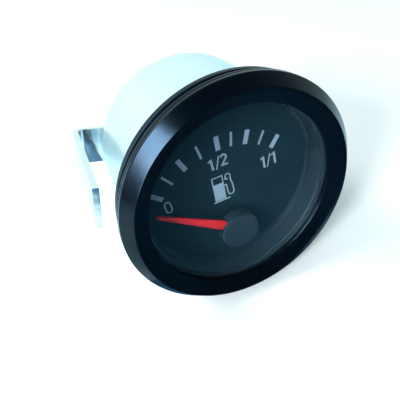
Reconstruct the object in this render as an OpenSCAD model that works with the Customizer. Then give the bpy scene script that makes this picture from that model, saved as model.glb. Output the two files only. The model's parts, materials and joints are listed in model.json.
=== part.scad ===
// Round panel fuel gauge with a pull-out dial lamp and a U clamp bracket.
// The axis lies along Y, the dial faces -Y and its marks read upright along +Z.
// The origin is on the axis, where the rear of the panel gasket meets the panel.

/* [Case and bezel] */
// outer diameter of the drawn case
case_d = 51.8; // [50:0.2:54]
// depth of the case behind the panel seat
case_depth = 32.2; // [31:0.1:42]
// wall of the case
case_wall = 0.7; // [0.5:0.1:1]
// width of the case flange
flange_w = 2.7; // [2.4:0.1:3.4]
// wall of the bezel beside the flange
bezel_wall = 0.8; // [0.6:0.1:1.6]
// width of the bezel's outer cone
cone_w = 2.5; // [1.6:0.1:3.2]
// width of the lens's edge that the bezel covers
lip_w = 1.7; // [1:0.1:2.4]
// height of the crest above the panel seat
crest_h = 8.8; // [8.3:0.1:10]
// height of the bezel's outer shoulder above the panel seat
shoulder_h = 5.8; // [5.5:0.1:6.3]
// height of the opening's edge above the panel seat
lip_h = 6.6; // [6.4:0.1:7.3]
// thickness of the rolled edge behind the flange
curl_t = 0.6; // [0.4:0.1:0.8]
// thickness of the panel gasket
gasket_t = 3.3; // [2.9:0.1:3.7]
// thickness of the lens
lens_t = 2; // [1.6:0.1:2.2]

/* [Dial and pointer] */
// depth of the dial's face behind the panel seat
dial_depth = 3.7; // [2.7:0.1:3.9]
// thickness of the dial plate
dial_t = 0.6; // [0.4:0.1:0.8]
// pointer spindle, sideways from the axis
pivot_x = -0.8; // [-2:0.1:2]
// angle of the mark 0, counted from +X
zero_angle = 137.8; // [130:0.1:140]
// angle of the mark 1/2
half_angle = 90; // [85:0.5:95]
// angle of the mark 1/1
full_angle = 50.3; // [48:0.1:60]
// angle of the resting pointer
rest_angle = 145.3; // [142:0.1:150]
// swing of the pointer from stop to stop
pointer_swing = 101; // [95:1:104]
// how much the radius of the scale is more than the bezel opening's
scale_over = 2.1; // [1:0.1:3]
// length of the graduations
tick_len = 3.7; // [3:0.1:5]
// distance from the pointer's tip to the outer ends of the graduations
pointer_short = 1.6; // [0.5:0.1:4]
// width of the pointer near its root
pointer_w = 2.9; // [2:0.1:3.2]
// diameter of the hub cap
cap_d = 10.4; // [10:0.1:12]

/* [Movement] */
// diameter of the spindle
spindle_d = 1; // [0.8:0.1:1.2]
// diameter of the magnet
magnet_d = 9.2; // [8:0.1:9.2]
// least wall of the coil former beside the magnet's cavity
former_wall = 0.7; // [0.5:0.1:1]
// thickness of each winding
coil_t = 1; // [0.6:0.1:1]
// gap between the former's posts and the shield cup
post_gap = 0.4; // [0.3:0.1:0.8]
// gap between the shield cup and the light box
shield_edge = 0.48; // [0.3:0.02:1.5]
// radial running clearance of the spindle
run_gap = 0.03; // [0.02:0.01:0.1]

/* [Lamp and terminals] */
// distance from the lamp holder's plug to the light box's wall
lamp_edge = 1.5; // [1:0.1:2.5]
// diameter of the lamp holder's plug
plug_d = 12; // [11.6:0.1:12.4]
// diameter of the bulb
bulb_d = 9.6; // [8:0.1:10]
// length of the bulb in front of its holder
bulb_len = 16.5; // [12:0.5:18]
// distance from the terminal block's corners to the light box's wall
block_edge = 0.9; // [0.5:0.1:2]
// distance between neighbouring blades
blade_pitch = 8; // [7.4:0.1:8.2]
// width of a blade
blade_w = 6.3; // [4.8:0.1:6.3]
// thickness of a blade
blade_t = 0.8; // [0.5:0.1:1]
// length of a blade behind the case
blade_out = 10; // [8:0.5:14]

/* [Clamp] */
// turn of the clamp about the axis, against the dial's marks
clamp_turn = 15.5; // [0:0.5:20]
// width of the bracket over its legs
clamp_w = 66.6; // [64:0.2:72]
// width of the bracket's strip
strip_w = 10.4; // [9:0.2:14]
// thickness of the strip
strip_t = 1.5; // [1:0.1:2]
// distance from the panel seat to the legs' ends
leg_gap = 0.9; // [0.5:0.1:2]
// distance from the case to the bracket's bar
bar_gap = 2.6; // [2.2:0.1:6]
// distance between the studs
stud_pitch = 22; // [20:0.5:24]
// diameter of the studs
stud_d = 4; // [3:0.5:4]
// length of the studs behind the case
stud_out = 18; // [16:0.5:24]
// diameter of the knurled nuts
nut_d = 10; // [8:0.5:10]

/* [Hidden] */
$fn = 96;
seat_fit = 0.1;
gasket_in = 0.5;
gasket_neck = 1.2;
gasket_neck_t = 1.1;
pin_fit = 0.02;
case_r = case_d / 2;
bore_r = case_r - case_wall;
inner_r = bore_r - seat_fit;
curl_y = -gasket_t - curl_t;
flange_y = curl_y - case_wall;
flange_r = case_r + flange_w;
bezel_r = flange_r + seat_fit + bezel_wall;
crest_r = bezel_r - cone_w;
lens_r = inner_r;
open_r = lens_r - lip_w;
lip_t = 0.6;
lens_y = -lip_h + lip_t;
lens_back = lens_y + lens_t;
case_back = case_depth;
case_floor = case_back - case_wall;
corner_r = 1.5;
dial_back = dial_depth + dial_t;
box_wall = 1.4;
box_chamfer = 1.1;
box_in = inner_r - box_wall;
cap_reach = 5.8;
cap_y = dial_depth - cap_reach;
cap_top = 0.8;
cap_skirt = 2.3;
cap_r = cap_d / 2;
cap_wall = 0.6;
cap_hub_r = 1.2;
cap_end = cap_y + cap_top + cap_skirt;
blade_in = 1.5;
blade_y = cap_y + blade_in;
pointer_t = 0.8;
boss_r = 2;
boss_rise = 0.4;
boss_y = blade_y - boss_rise;
boss_gap = 0.8;
boss_end = dial_depth - boss_gap;
tooth_t = 0.9;
tooth_y = boss_end - tooth_t;
tooth_r = 3.4;
tooth_w = 1;
tooth_gap = 0.2;
weight_y = blade_y + pointer_t;
weight_t = tooth_y - weight_y - tooth_gap;
stop_r = 3;
stop_pin_r = 0.4;
stop_slack = 1;
stop_half = asin((tooth_w / 2 + stop_pin_r) / stop_r) + stop_slack;
tail_len = 4;
tail_half = 1.3;
weight_r = 4.3;
dial_hole = 0.7;
scale_r = open_r + scale_over;
tick_in = scale_r - tick_len;
pointer_len = scale_r - pointer_short;
plate_t = 1.2;
plate_gap = 2.4;
plate_y = dial_back + plate_gap;
plate_back = plate_y + plate_t;
rotor_gap = 0.4;
former_w = magnet_d + 2 * rotor_gap + 2 * former_wall;
post_w = 2.2;
post_step = 0.5;
post_c = former_w / 2 + post_step;
former_gap = 0.8 + 2 * coil_t;
former_y = plate_back + former_gap;
former_h = 9;
former_end = former_y + former_h;
former_mid = former_y + former_h / 2;
coil_fit = 0.05;
coil_gap = 0.1;
magnet_t = 4.6;
cavity_t = magnet_t + 2 * rotor_gap;
shield_t = 0.6;
shield_r = (post_c + post_w / 2) * sqrt(2) + post_gap + shield_t;
shield_gap = 1.6;
shield_back = former_end + former_gap + shield_gap;
pivot_z = -(box_in - shield_r - shield_edge);
board_gap = 0.8;
board_t = 1.2;
board_y = shield_back + board_gap;
web_t = 1.2;
web_y = board_y + board_t;
web_back = web_y + web_t;
spindle_r = spindle_d / 2;
bearing_wall = 1;
bearing_r = spindle_r + bearing_wall;
bearing_t = 1.4;
bearing_cap = 0.9;
bearing_depth = 0.2;
bearing_end = former_end + bearing_depth;
end_float = 0.05;
spindle_in = 0.4;
spindle_start = blade_y + spindle_in;
spindle_end = bearing_end - end_float;
pin_r = 0.4;
shield_hole_r = 0.9;
pillar_r = 2.4;
plate_screw_r = 0.9;
plate_screw_depth = 6;
plate_head_r = 1.8;
plate_head_t = 1;
bobbin_screw_r = 0.7;
bobbin_screw_in = 3;
bobbin_screw_depth = plate_t + bobbin_screw_in;
bobbin_head_r = 1.2;
bobbin_head_t = 0.8;
driver_slot = 0.4;
pillar_gap = 0.2;
pillar_ring = box_in - pillar_r - pillar_gap;
pillars = [for (a = [17, 163, -31, -149]) [pillar_ring * cos(a), pillar_ring * sin(a)]];
plate_margin = 4;
plate_top = pillars[0][1] + plate_margin;
board_top = 2;
resistor_edge = 5.7;
resistor_x = resistor_edge - box_in;
resistor_z = -3.2;
resistor_len = 6;
resistor_r = 1.6;
resistor_reach = 3.8;
resistor_lift = 0.2;
resistor_y = board_y - resistor_r - resistor_lift;
lead_r = 0.3;
lead_bend = 0.6;
plug_r = plug_d / 2;
plug_fit = 0.1;
plug_in = 0.4;
plug_y = web_y - plug_in;
lamp_z = box_in - plug_r - lamp_edge;
rim_over = 1.5;
rim_r = plug_r + rim_over;
rim_t = 1.4;
grip_len = 6;
socket_depth = 6;
socket_floor = plug_y + socket_depth;
bulb_r = bulb_d / 2;
bulb_fit = 0.15;
glass_t = 0.5;
pinch_w = 2.4;
pinch_gap = 0.3;
pinch_y = socket_floor - pinch_gap;
pinch_in = 1;
seat_in = 1.5;
bulb_seat = plug_y + seat_in;
bulb_foot = 0.8;
contact_in = 0.6;
strip_c = 0.5;
strip_cw = 2.8;
block_side = 1.15;
block_w = 2 * blade_pitch + blade_w + 2 * block_side;
block_h = 7.2;
blade_drop = sqrt(pow(box_in - block_edge, 2) - pow(block_w / 2, 2)) - block_h / 2;
window_fit = 0.15;
block_rim = 1.2;
block_rim_t = 1.6;
tail_w = 2;
tail_over = 0.6;
tail_start = board_y - tail_over;
pin_in = 0.5;
blade_hole_r = 0.8;
blade_hole_in = 3.2;
blade_tip = 1;
slit_fit = 0.1;
contact_out = 5;
filament_r = 0.2;
filament_half = 1.8;
bar_y = case_back + bar_gap;
bar_back = bar_y + strip_t;
bend_r = 1.5;
stud_r = stud_d / 2;
stud_collar = 0.5;
stud_head = 1;
washer_t = 0.9;
washer_y = bar_back;
nut_y = washer_y + washer_t;
nut_knurl = 4;
nut_hub = 2.6;
nut_hub_wall = 1.4;
nut_bevel = 0.4;
thread_fit = 0.05;
head_over = 1.5;
collar_over = 1;
washer_over = 1.6;
washer_slit = 0.5;
hole_fit = 0.2;
slot_half = 1;
mark_t = 0.12;
scale_bend = 1.08;
tick_wide = 1.25;
tick_fine = 0.6;
stroke = 0.42;
numeral_h = 3.4;
numeral_in = 2.8;
numeral_turn = 4.7;
pump_x = -1.7;
pump_up = 7.25;

// Helpers

// points of an arc from angle a to angle b
function arc(c, r, a, b, n) = [for (i = [0:n])
  [c[0] + r * cos(a + (b - a) * i / n), c[1] + r * sin(a + (b - a) * i / n)]];

// angle of graduation i, from 0 at the mark 0 to 8 at the mark 1/1
function tick_angle(i) = i <= 4
  ? half_angle + (zero_angle - half_angle) * (4 - i) / 4
  : half_angle - (half_angle - full_angle) * pow((i - 4) / 4, scale_bend);

function tick_w(i) = i % 2 == 0 ? tick_wide : tick_fine;

// turned shape about the Y axis from points [radius, y]
module turned(pts) {
  rotate([-90, 0, 0])
    rotate_extrude()
      polygon(pts);
}

// round bar along Y
module bar(r, y0, y1) {
  translate([0, y0, 0])
    rotate([-90, 0, 0])
      cylinder(r = r, h = y1 - y0);
}

// plate between two depths from an outline in X and Z
module plate(y0, y1) {
  translate([0, y1, 0])
    rotate([90, 0, 0])
      linear_extrude(height = y1 - y0)
        children();
}

module at(x, z) {
  translate([x, 0, z])
    children();
}

module at_pivot() {
  at(pivot_x, pivot_z)
    children();
}

// local X along the resting pointer
module at_pointer() {
  at_pivot()
    rotate([0, -rest_angle, 0])
      children();
}

module clamp_frame() {
  rotate([0, clamp_turn, 0])
    children();
}

// one stroke with round ends
module seg(a, b, w) {
  d = b - a;
  translate(a)
    circle(d = w, $fn = 24);
  translate(b)
    circle(d = w, $fn = 24);
  translate(a)
    rotate(atan2(d[1], d[0]))
      translate([0, -w / 2])
        square([norm(d), w]);
}

module stud_places() {
  clamp_frame() {
    at(-stud_pitch / 2, 0)
      children();
    at(stud_pitch / 2, 0)
      children();
  }
}

// Front

module bezel_ring() {
  skirt_in = flange_r + seat_fit;
  side_end = curl_y - 0.1;
  curl_in = case_r + seat_fit;
  curl_out = skirt_in + 0.1;
  groove_y = side_end - 0.65;
  round_r = 0.45;
  color([0.05, 0.05, 0.06])
    turned(concat(
      [[open_r, lens_y], [open_r, -lip_h + 0.15], [open_r + 0.15, -lip_h]],
      [[crest_r - 0.5, -crest_h + 0.12], [crest_r - 0.2, -crest_h], [crest_r + 0.2, -crest_h]],
      [[crest_r + 0.6, -crest_h + 0.2]],
      arc([bezel_r - round_r, -shoulder_h], round_r, -50, 0, 5),
      [[bezel_r, groove_y - 0.12], [bezel_r - 0.2, groove_y], [bezel_r, groove_y + 0.12]],
      [[bezel_r, side_end - 0.3], [bezel_r - 0.3, side_end], [curl_out, side_end]],
      [[curl_out, -gasket_t - 0.2], [curl_out - 0.2, -gasket_t], [curl_in, -gasket_t]],
      [[curl_in, curl_y], [skirt_in, curl_y], [skirt_in, lens_y]]
    ));
}

module lens() {
  color([0.8, 0.88, 0.9, 0.35])
    bar(lens_r, lens_y, lens_back);
}

module lens_seal() {
  color([0.1, 0.1, 0.1])
    turned([[lens_r + seat_fit / 2, lens_y], [flange_r, lens_y], [flange_r, flange_y],
      [lens_r + seat_fit / 2, flange_y]]);
}

module panel_gasket() {
  color([0.12, 0.12, 0.13])
    turned([[case_r + seat_fit, -gasket_t], [bezel_r - gasket_neck, -gasket_t],
      [bezel_r - gasket_neck, -gasket_t + gasket_neck_t], [bezel_r - gasket_in, -gasket_t + gasket_neck_t],
      [bezel_r - gasket_in, 0], [case_r + seat_fit, 0]]);
}

module case() {
  in_r = corner_r - case_wall;
  color([0.8, 0.83, 0.86])
    difference() {
      turned(concat(
        [[flange_r, flange_y], [flange_r, curl_y], [case_r, curl_y]],
        arc([case_r - corner_r, case_back - corner_r], corner_r, 0, 90, 8),
        [[0, case_back], [0, case_floor]],
        arc([case_r - corner_r, case_back - corner_r], in_r, 90, 0, 8),
        [[bore_r, flange_y]]
      ));
      at(0, lamp_z)
        bar(plug_r + plug_fit, case_floor - 1, case_back + 1);
      plate(case_floor - 1, case_back + 1)
        translate([0, -blade_drop])
          square([block_w + 2 * window_fit, block_h + 2 * window_fit], center = true);
      stud_places()
        bar(stud_r + seat_fit, case_floor - 1, case_back + 1);
    }
}

module spacer_ring() {
  front_r = open_r + 0.3;
  wall_r = open_r - 0.1;
  step_y = lens_back + 1.2;
  groove_y = dial_depth - 1.8;
  color([0.16, 0.17, 0.18])
    turned([[inner_r, lens_back], [front_r, lens_back], [front_r, step_y], [wall_r, step_y],
      [wall_r, groove_y], [wall_r + 0.3, groove_y], [wall_r + 0.3, groove_y + 0.3],
      [wall_r - 0.2, groove_y + 0.3], [wall_r - 0.2, dial_depth], [inner_r, dial_depth]]);
}

module stop_places() {
  at_pivot()
    for (a = [rest_angle + 180 + stop_half, rest_angle + 180 - pointer_swing - stop_half])
      rotate([0, -a, 0])
        at(stop_r, 0)
          children();
}

module dial_plate() {
  color([0.09, 0.13, 0.15])
    difference() {
      bar(inner_r, dial_depth, dial_back);
      at_pivot()
        bar(spindle_r + dial_hole, dial_depth - 1, dial_back + 1);
      stop_places()
        bar(stop_pin_r + pin_fit, dial_depth - 1, dial_back + 1);
    }
}

// digit one with its foot at the origin
module digit_one(h) {
  translate([-0.3, 0])
    square([0.62, h]);
  polygon([[-0.3, h], [-1.05, h - 0.75], [-1.05, h - 1.2], [-0.3, h - 0.75]]);
}

module slash(h) {
  polygon([[-0.75, 0], [-0.4, 0], [0.75, h], [0.4, h]]);
}

module digit_two(h) {
  r = 0.9;
  translate([0, h - r])
    difference() {
      circle(r = r, $fn = 40);
      circle(r = r - 0.48, $fn = 40);
      polygon([[0, 0], [-2, -0.2], [-2, -2], [0.6, -2], [0.9, -0.8]]);
    }
  polygon([[-0.95, 0], [-0.95, 0.45], [0.38, h - 1.25], [0.86, h - 1.4], [-0.1, 0.5],
    [0.95, 0.5], [0.95, 0]]);
}

module digit_zero(h, w) {
  difference() {
    union() {
      translate([-w / 2, w / 2])
        square([w, h - w]);
      translate([0, w / 2])
        circle(d = w, $fn = 40);
      translate([0, h - w / 2])
        circle(d = w, $fn = 40);
    }
    translate([0, w / 2]) {
      circle(d = w - 2 * stroke, $fn = 40);
      translate([-w / 2 + stroke, 0])
        square([w - 2 * stroke, h - w]);
      translate([0, h - w])
        circle(d = w - 2 * stroke, $fn = 40);
    }
  }
}

// place of a numeral inside the graduations, upright
module numeral(a) {
  r = tick_in - numeral_in;
  translate([r * cos(a), r * sin(a)])
    children();
}

// one over the child, about the numeral's middle
module fraction(reach) {
  translate([-1.9, -numeral_h / 2])
    digit_one(numeral_h);
  translate([-0.3, -numeral_h / 2])
    slash(numeral_h);
  translate([reach - 0.5, -numeral_h / 2])
    children();
}

// plain fuel pump with its hose
module pump() {
  difference() {
    translate([-1.55, 0.42])
      square([3.1, 7]);
    translate([-1.15, 5.2])
      square([2.3, 1.8]);
  }
  translate([-2, 0])
    square([4.6, 0.42]);
  seg([1.5, 4.2], [2, 4.2], stroke);
  seg([2, 4.2], [2.1, 1.6], stroke);
  seg([2.1, 1.6], [2.6, 1.1], stroke);
  seg([2.6, 1.1], [3.5, 1.1], stroke);
  seg([3.5, 1.1], [3.95, 1.7], stroke);
  seg([3.95, 1.7], [3.5, 5.2], stroke);
  seg([3.5, 5.2], [3.3, 6.4], stroke);
  seg([3.3, 6.4], [2.5, 7.6], stroke);
  seg([2.5, 7.6], [2, 7.2], stroke);
}

module scale_marks() {
  color([0.72, 0.78, 0.82])
    plate(dial_depth - mark_t, dial_depth) {
      translate([pivot_x, pivot_z]) {
        for (i = [0:8])
          rotate(tick_angle(i))
            translate([tick_in, -tick_w(i) / 2])
              square([tick_len, tick_w(i)]);
        numeral(zero_angle + numeral_turn)
          translate([0, -numeral_h / 2])
            digit_zero(numeral_h, 1.9);
        numeral(half_angle)
          fraction(1.9)
            digit_two(numeral_h);
        numeral(full_angle - numeral_turn)
          fraction(1.6)
            digit_one(numeral_h);
        translate([pump_x, pump_up])
          pump();
      }
    }
}

module stop_pins() {
  color([0.6, 0.6, 0.62])
    stop_places()
      bar(stop_pin_r, tooth_y + 0.1, dial_back);
}

// Pointer and spindle

module pointer() {
  hw = pointer_w / 2;
  tip = 0.4;
  neck = 0.7;
  ridge = 0.45;
  over = 0.1;
  color([0.85, 0.08, 0.12])
    at_pointer() {
      intersection() {
        plate(blade_y, blade_y + pointer_t)
          polygon([[1.5, -neck], [2.6, -neck], [3.6, -hw], [pointer_len - 1, -tip], [pointer_len, 0],
            [pointer_len - 1, tip], [3.6, hw], [2.6, neck], [1.5, neck]]);
        rotate([90, 0, 90])
          linear_extrude(height = pointer_len + 1)
            polygon([[blade_y + ridge, -hw - over], [blade_y, 0], [blade_y + ridge, hw + over],
              [blade_y + pointer_t, hw + over], [blade_y + pointer_t, -hw - over]]);
      }
      difference() {
        union() {
          bar(boss_r, boss_y, boss_end);
          plate(blade_y, blade_y + pointer_t)
            translate([-tail_len, -tail_half])
              square([tail_len, 2 * tail_half]);
          plate(tooth_y, boss_end)
            translate([-tooth_r, -tooth_w / 2])
              square([tooth_r, tooth_w]);
        }
        bar(spindle_r + pin_fit, spindle_start, boss_end + 1);
      }
    }
}

module hub_cap() {
  e = 0.35;
  in_r = cap_r - cap_wall;
  notch_fit = 0.15;
  notch_half = pointer_w / 2 + notch_fit;
  color([0.1, 0.11, 0.12])
    at_pointer()
      difference() {
        turned(concat(
          [[0, cap_y]],
          arc([cap_r - e, cap_y + e], e, -90, 0, 5),
          [[cap_r, cap_end], [in_r, cap_end], [in_r, cap_y + cap_top], [cap_hub_r, cap_y + cap_top],
            [cap_hub_r, boss_y], [0, boss_y]]
        ));
        plate(cap_y + cap_top, cap_end + 1)
          translate([boss_r, -notch_half])
            square([cap_r, 2 * notch_half]);
      }
}

module counterweight() {
  color([0.75, 0.6, 0.3])
    at_pointer()
      plate(weight_y, weight_y + weight_t)
        difference() {
          circle(r = weight_r);
          circle(r = boss_r + seat_fit);
          translate([-weight_r / 3, -weight_r - 1])
            square(2 * weight_r + 2);
        }
}

module spindle() {
  color([0.7, 0.72, 0.75])
    at_pivot()
      bar(spindle_r, spindle_start, spindle_end);
}

module magnet_rotor() {
  color([0.3, 0.3, 0.32])
    at_pivot()
      difference() {
        bar(magnet_d / 2, former_mid - magnet_t / 2, former_mid + magnet_t / 2);
        bar(spindle_r + pin_fit, former_y, former_end);
      }
}

// Movement

module front_bearing() {
  color([0.8, 0.65, 0.3])
    at_pivot()
      difference() {
        bar(bearing_r, former_y, former_y + bearing_t);
        bar(spindle_r + run_gap, former_y - 1, former_y + bearing_t + 1);
      }
}

module rear_bearing() {
  color([0.8, 0.65, 0.3])
    at_pivot()
      difference() {
        bar(bearing_r, former_end - bearing_t, former_end + bearing_cap);
        bar(spindle_r + run_gap, former_end - bearing_t - 1, bearing_end);
      }
}

module posts(y0, y1) {
  plate(y0, y1)
    for (x = [-post_c, post_c])
      for (z = [-post_c, post_c])
        translate([x, z])
          square(post_w, center = true);
}

module bobbin_front() {
  color([0.25, 0.25, 0.27])
    at_pivot()
      difference() {
        union() {
          plate(former_y, former_mid)
            square(former_w, center = true);
          posts(plate_back, former_mid);
        }
        bar(magnet_d / 2 + rotor_gap, former_mid - cavity_t / 2, former_mid + 1);
        bar(bearing_r + pin_fit, former_y - 1, former_mid);
        for (s = [-1, 1])
          at(s * post_c, s * post_c)
            bar(bobbin_screw_r + pin_fit, plate_back - 1, plate_y + bobbin_screw_depth + 0.6);
      }
}

module bobbin_rear() {
  color([0.22, 0.22, 0.24])
    at_pivot()
      difference() {
        union() {
          plate(former_mid, former_end)
            square(former_w, center = true);
          posts(former_mid, shield_back - shield_t);
        }
        bar(magnet_d / 2 + rotor_gap, former_mid - 1, former_mid + cavity_t / 2);
        bar(bearing_r + pin_fit, former_mid, former_end + 1);
        coil_pin_places()
          bar(pin_r + pin_fit, former_end, shield_back);
      }
}

module coil_pin_places() {
  for (x = [-post_c, post_c])
    for (z = [-post_c, post_c])
      at(x, z)
        children();
}

// one rectangular loop round the former, in X and Y, and the band of Z that it fills
module winding(half, y0, y1, z0, z1) {
  translate([0, 0, z0])
    linear_extrude(height = z1 - z0)
      difference() {
        translate([-half - coil_t, y0 - coil_t])
          square([2 * half + 2 * coil_t, y1 - y0 + 2 * coil_t]);
        translate([-half, y0])
          square([2 * half, y1 - y0]);
      }
}

module coil_pair(y0, y1) {
  half = former_w / 2 + coil_fit;
  inner_z = bearing_r + coil_gap;
  outer_z = post_c - post_w / 2 - 2 * coil_gap;
  winding(half, y0, y1, inner_z, outer_z);
  winding(half, y0, y1, -outer_z, -inner_z);
}

module coil_inner() {
  color([0.75, 0.4, 0.2])
    at_pivot()
      coil_pair(former_y - coil_fit, former_end + coil_fit);
}

module coil_outer() {
  skip = coil_t + 2 * coil_fit;
  color([0.8, 0.45, 0.2])
    at_pivot()
      rotate([0, 90, 0])
        coil_pair(former_y - skip, former_end + skip);
}

module shield_cup() {
  color([0.6, 0.62, 0.65])
    at_pivot()
      difference() {
        bar(shield_r, plate_back, shield_back);
        bar(shield_r - shield_t, plate_back - 1, shield_back - shield_t);
        coil_pin_places()
          bar(shield_hole_r, shield_back - 2, shield_back + 1);
      }
}

module movement_plate() {
  color([0.65, 0.66, 0.68])
    difference() {
      bar(box_in - 0.2, plate_y, plate_back);
      plate(plate_y - 1, plate_back + 1)
        translate([-box_in, plate_top])
          square([2 * box_in, box_in]);
      at_pivot() {
        bar(spindle_r + dial_hole, plate_y - 1, plate_back + 1);
        for (s = [-1, 1])
          at(s * post_c, s * post_c)
            bar(bobbin_screw_r + seat_fit, plate_y - 1, plate_back + 1);
      }
      for (p = pillars)
        at(p[0], p[1])
          bar(plate_screw_r + seat_fit, plate_y - 1, plate_back + 1);
    }
}

module screw(head_r, head_t, shank_r, depth) {
  difference() {
    bar(head_r, plate_y - head_t, plate_y);
    plate(plate_y - head_t - 1, plate_y - head_t * 0.5)
      square([3 * head_r, driver_slot], center = true);
  }
  bar(shank_r, plate_y, plate_y + depth);
}

module plate_screws() {
  color([0.7, 0.7, 0.72])
    for (p = pillars)
      at(p[0], p[1])
        screw(plate_head_r, plate_head_t, plate_screw_r, plate_screw_depth);
}

module bobbin_screws() {
  color([0.7, 0.7, 0.72])
    at_pivot()
      for (s = [-1, 1])
        at(s * post_c, s * post_c)
          screw(bobbin_head_r, bobbin_head_t, bobbin_screw_r, bobbin_screw_depth);
}

module light_box() {
  color([0.93, 0.93, 0.9])
    difference() {
      union() {
        difference() {
          bar(inner_r, dial_back, case_floor);
          bar(box_in, dial_back - 1, case_floor + 1);
        }
        bar(box_in + 0.1, web_y, web_back);
        for (p = pillars)
          at(p[0], p[1])
            bar(pillar_r, plate_back, web_y + 0.1);
      }
      for (p = pillars)
        at(p[0], p[1])
          bar(plate_screw_r + pin_fit, plate_back - 1, plate_y + plate_screw_depth + 0.8);
      at(0, lamp_z)
        bar(plug_r + plug_fit, web_y - 1, web_back + 1);
      plate(web_y - 1, web_back + 1)
        for (i = [-1:1])
          translate([i * blade_pitch, -blade_drop])
            square([tail_w + 2 * slit_fit, blade_t + 2 * slit_fit], center = true);
      turned([[inner_r - box_chamfer, case_floor], [inner_r, case_floor - box_chamfer],
        [inner_r + 1, case_floor - box_chamfer], [inner_r + 1, case_floor + 1],
        [inner_r - box_chamfer, case_floor + 1]]);
    }
}

module circuit_board() {
  color([0.15, 0.4, 0.2])
    plate(board_y, web_y)
      difference() {
        circle(r = box_in - 0.3);
        translate([-box_in, board_top])
          square([2 * box_in, box_in]);
        for (p = pillars)
          translate(p)
            circle(r = pillar_r + 0.3);
        for (x = [-post_c, post_c])
          for (z = [-post_c, post_c])
            translate([pivot_x + x, pivot_z + z])
              circle(r = pin_r + seat_fit, $fn = 24);
        for (i = [-1:1])
          translate([i * blade_pitch, -blade_drop])
            square([tail_w + slit_fit, blade_t + slit_fit], center = true);
        for (z = [resistor_z - resistor_reach, resistor_z + resistor_reach])
          translate([resistor_x, z])
            circle(r = lead_r + seat_fit, $fn = 24);
      }
}

module ballast_resistor() {
  bend_z = resistor_reach - lead_bend;
  stub = bend_z - resistor_len / 2;
  color([0.75, 0.65, 0.5])
    translate([resistor_x, resistor_y, resistor_z])
      cylinder(r = resistor_r, h = resistor_len, center = true);
  color([0.7, 0.7, 0.72])
    for (s = [-1, 1]) {
      translate([resistor_x, resistor_y, resistor_z + s * (resistor_len + stub) / 2])
        cylinder(r = lead_r, h = stub, center = true);
      translate([resistor_x, resistor_y + lead_bend, resistor_z + s * bend_z])
        rotate([90, 0, 90])
          rotate([0, 0, s > 0 ? 90 : 180])
            rotate_extrude(angle = 90)
              translate([lead_bend, 0])
                circle(r = lead_r);
      at(resistor_x, resistor_z + s * resistor_reach)
        bar(lead_r, resistor_y + lead_bend, web_y - 0.2);
    }
}

module coil_pins() {
  color([0.75, 0.6, 0.3])
    at_pivot()
      coil_pin_places()
        bar(pin_r, former_end + pin_in, web_y);
}

// Terminals

module terminal(i) {
  w = blade_w / 2;
  end = case_back + blade_out;
  color([0.8, 0.7, 0.4])
    at(i * blade_pitch, -blade_drop) {
      difference() {
        translate([0, 0, -blade_t / 2])
          linear_extrude(height = blade_t)
            polygon([[-tail_w / 2, tail_start], [tail_w / 2, tail_start], [tail_w / 2, web_back],
              [w, web_back], [w, end - blade_tip], [w - blade_tip, end], [blade_tip - w, end],
              [-w, end - blade_tip], [-w, web_back], [-tail_w / 2, web_back]]);
        translate([0, end - blade_hole_in, -blade_t])
          cylinder(r = blade_hole_r, h = 2 * blade_t, $fn = 32);
      }
    }
}

module terminal_ignition() {
  terminal(-1);
}

module terminal_sender() {
  terminal(0);
}

module terminal_earth() {
  terminal(1);
}

module terminal_block() {
  color([0.08, 0.08, 0.09])
    difference() {
      union() {
        plate(web_back, case_back)
          translate([0, -blade_drop])
            square([block_w, block_h], center = true);
        plate(case_back, case_back + block_rim_t)
          translate([0, -blade_drop])
            square([block_w + 2 * block_rim, block_h + 2 * block_rim - 0.6], center = true);
      }
      plate(web_back - 1, case_back + block_rim_t + 1)
        for (i = [-1:1])
          translate([i * blade_pitch, -blade_drop])
            square([blade_w + slit_fit, blade_t + slit_fit], center = true);
    }
}

// Lamp

module lamp_holder() {
  rim_y = case_back + rim_t;
  color([0.1, 0.1, 0.11])
    at(0, lamp_z)
      difference() {
        union() {
          bar(plug_r, plug_y, case_back);
          bar(rim_r, case_back, rim_y);
          intersection() {
            bar(plug_r, rim_y, rim_y + grip_len);
            plate(rim_y, rim_y + grip_len)
              square([2 * plug_r, 1.4 * plug_r], center = true);
          }
        }
        bar(bulb_r + bulb_fit, plug_y - 1, socket_floor);
        plate(socket_floor - 1, rim_y + grip_len + 1)
          for (s = [-1, 1])
            translate([0, s * (pinch_w / 2 + strip_c / 2)])
              square([strip_cw + slit_fit, strip_c + slit_fit], center = true);
      }
}

module lamp_contacts() {
  color([0.8, 0.7, 0.4])
    at(0, lamp_z)
      plate(bulb_seat + contact_in, case_back + rim_t + grip_len + contact_out)
        for (s = [-1, 1])
          translate([0, s * (pinch_w / 2 + strip_c / 2)])
            square([strip_cw, strip_c], center = true);
}

module bulb_glass() {
  top = plug_y - bulb_len + bulb_r;
  in_r = bulb_r - glass_t;
  color([0.85, 0.9, 0.95, 0.5])
    at(0, lamp_z) {
      turned(concat(
        [[0, top - bulb_r]],
        arc([0, top], bulb_r, -85, 0, 14),
        [[bulb_r, bulb_seat], [0, bulb_seat], [0, bulb_seat - bulb_foot], [in_r, bulb_seat - bulb_foot]],
        arc([0, top], in_r, 0, -85, 14),
        [[0, top - in_r]]
      ));
      plate(bulb_seat, pinch_y)
        square([bulb_d - 2 * pinch_in, pinch_w], center = true);
    }
}

module bulb_filament() {
  top = plug_y - bulb_len + bulb_r;
  color([0.5, 0.5, 0.52])
    at(0, lamp_z) {
      for (s = [-1, 1])
        at(s * filament_half, 0)
          bar(filament_r, top + 2, bulb_seat - bulb_foot);
      translate([0, top + 2, 0])
        rotate([0, 90, 0])
          cylinder(r = filament_r, h = 2 * (filament_half + filament_r), center = true, $fn = 32);
    }
}

// Clamp

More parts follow.
